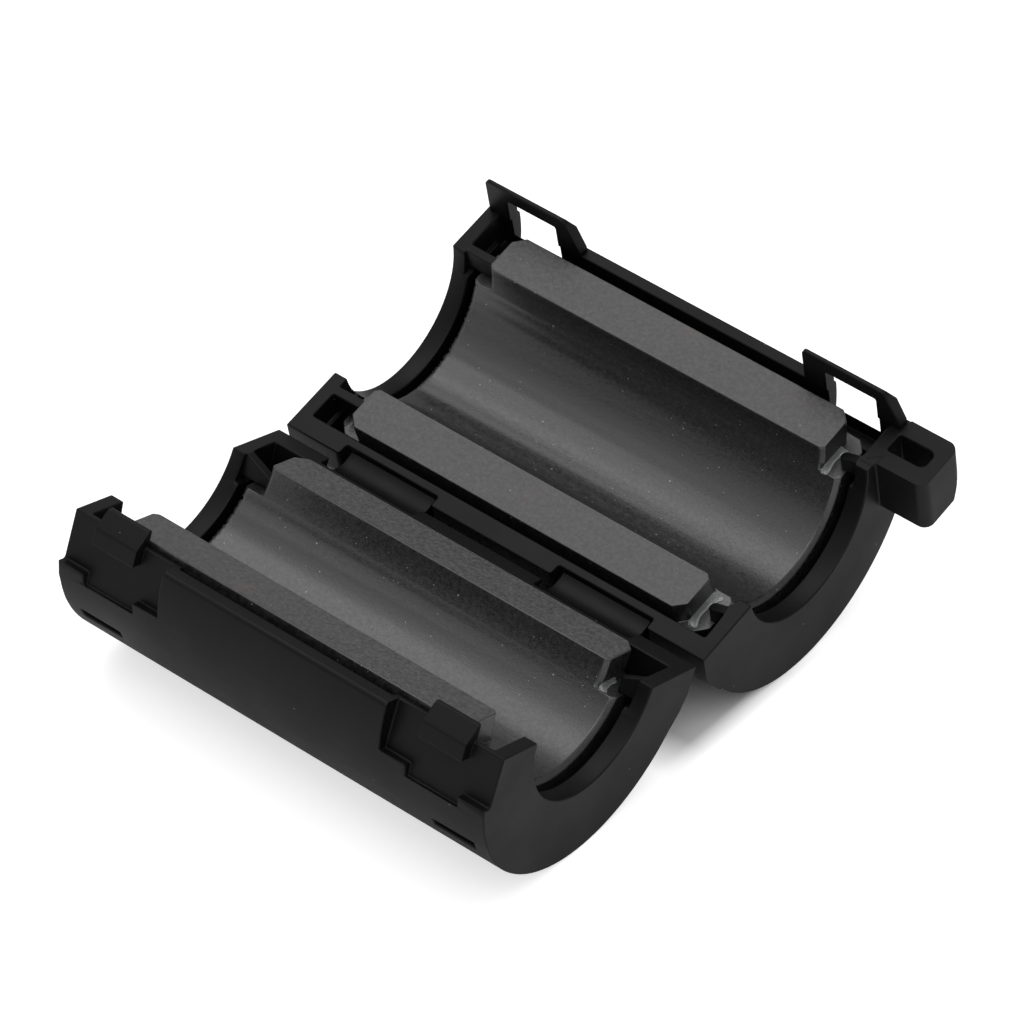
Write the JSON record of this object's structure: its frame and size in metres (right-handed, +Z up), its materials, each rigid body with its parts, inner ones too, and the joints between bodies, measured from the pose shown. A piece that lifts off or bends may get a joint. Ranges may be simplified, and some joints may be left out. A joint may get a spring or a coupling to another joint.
{
  "type": "clip-on ferrite bead",
  "caption": "Open clip-on ferrite bead: two grey ferrite half rings in a black hinged snap case with latch loops and a cable-tie lug.",
  "frame": {"origin": "middle of the open clip's box, on the surface it lies on", "axes": "+X along the cable towards the end with the cable-tie lug, +Y towards the half with the latch loops, +Z up"},
  "size_m": [0.04, 0.047, 0.018],
  "materials": {
    "case": "satin",
    "ferrite": "fine sintered grain",
    "adhesive": "clear and glossy"
  },
  "bodies": {
    "window_half": {"window_shell": "case", "latch_loop_left": "case", "latch_loop_right": "case", "hinge_strap_left": "case", "hinge_strap_right": "case", "window_core": "ferrite", "adhesive_window_latch": "adhesive", "adhesive_window_hinge": "adhesive"},
    "tooth_half": {"tooth_shell": "case", "tooth_core": "ferrite", "adhesive_tooth_hinge": "adhesive"}
  },
  "joints": [
    {"name": "case_hinge", "type": "hinge", "parent": "window_half", "child": "tooth_half", "pos_m": [-0.002, 0, 0.00855], "axis": [-1, 0, 0], "range_deg": [-33, 146.8], "deforming": ["hinge_strap_left", "hinge_strap_right", "latch_loop_left", "latch_loop_right"]}
  ]
}
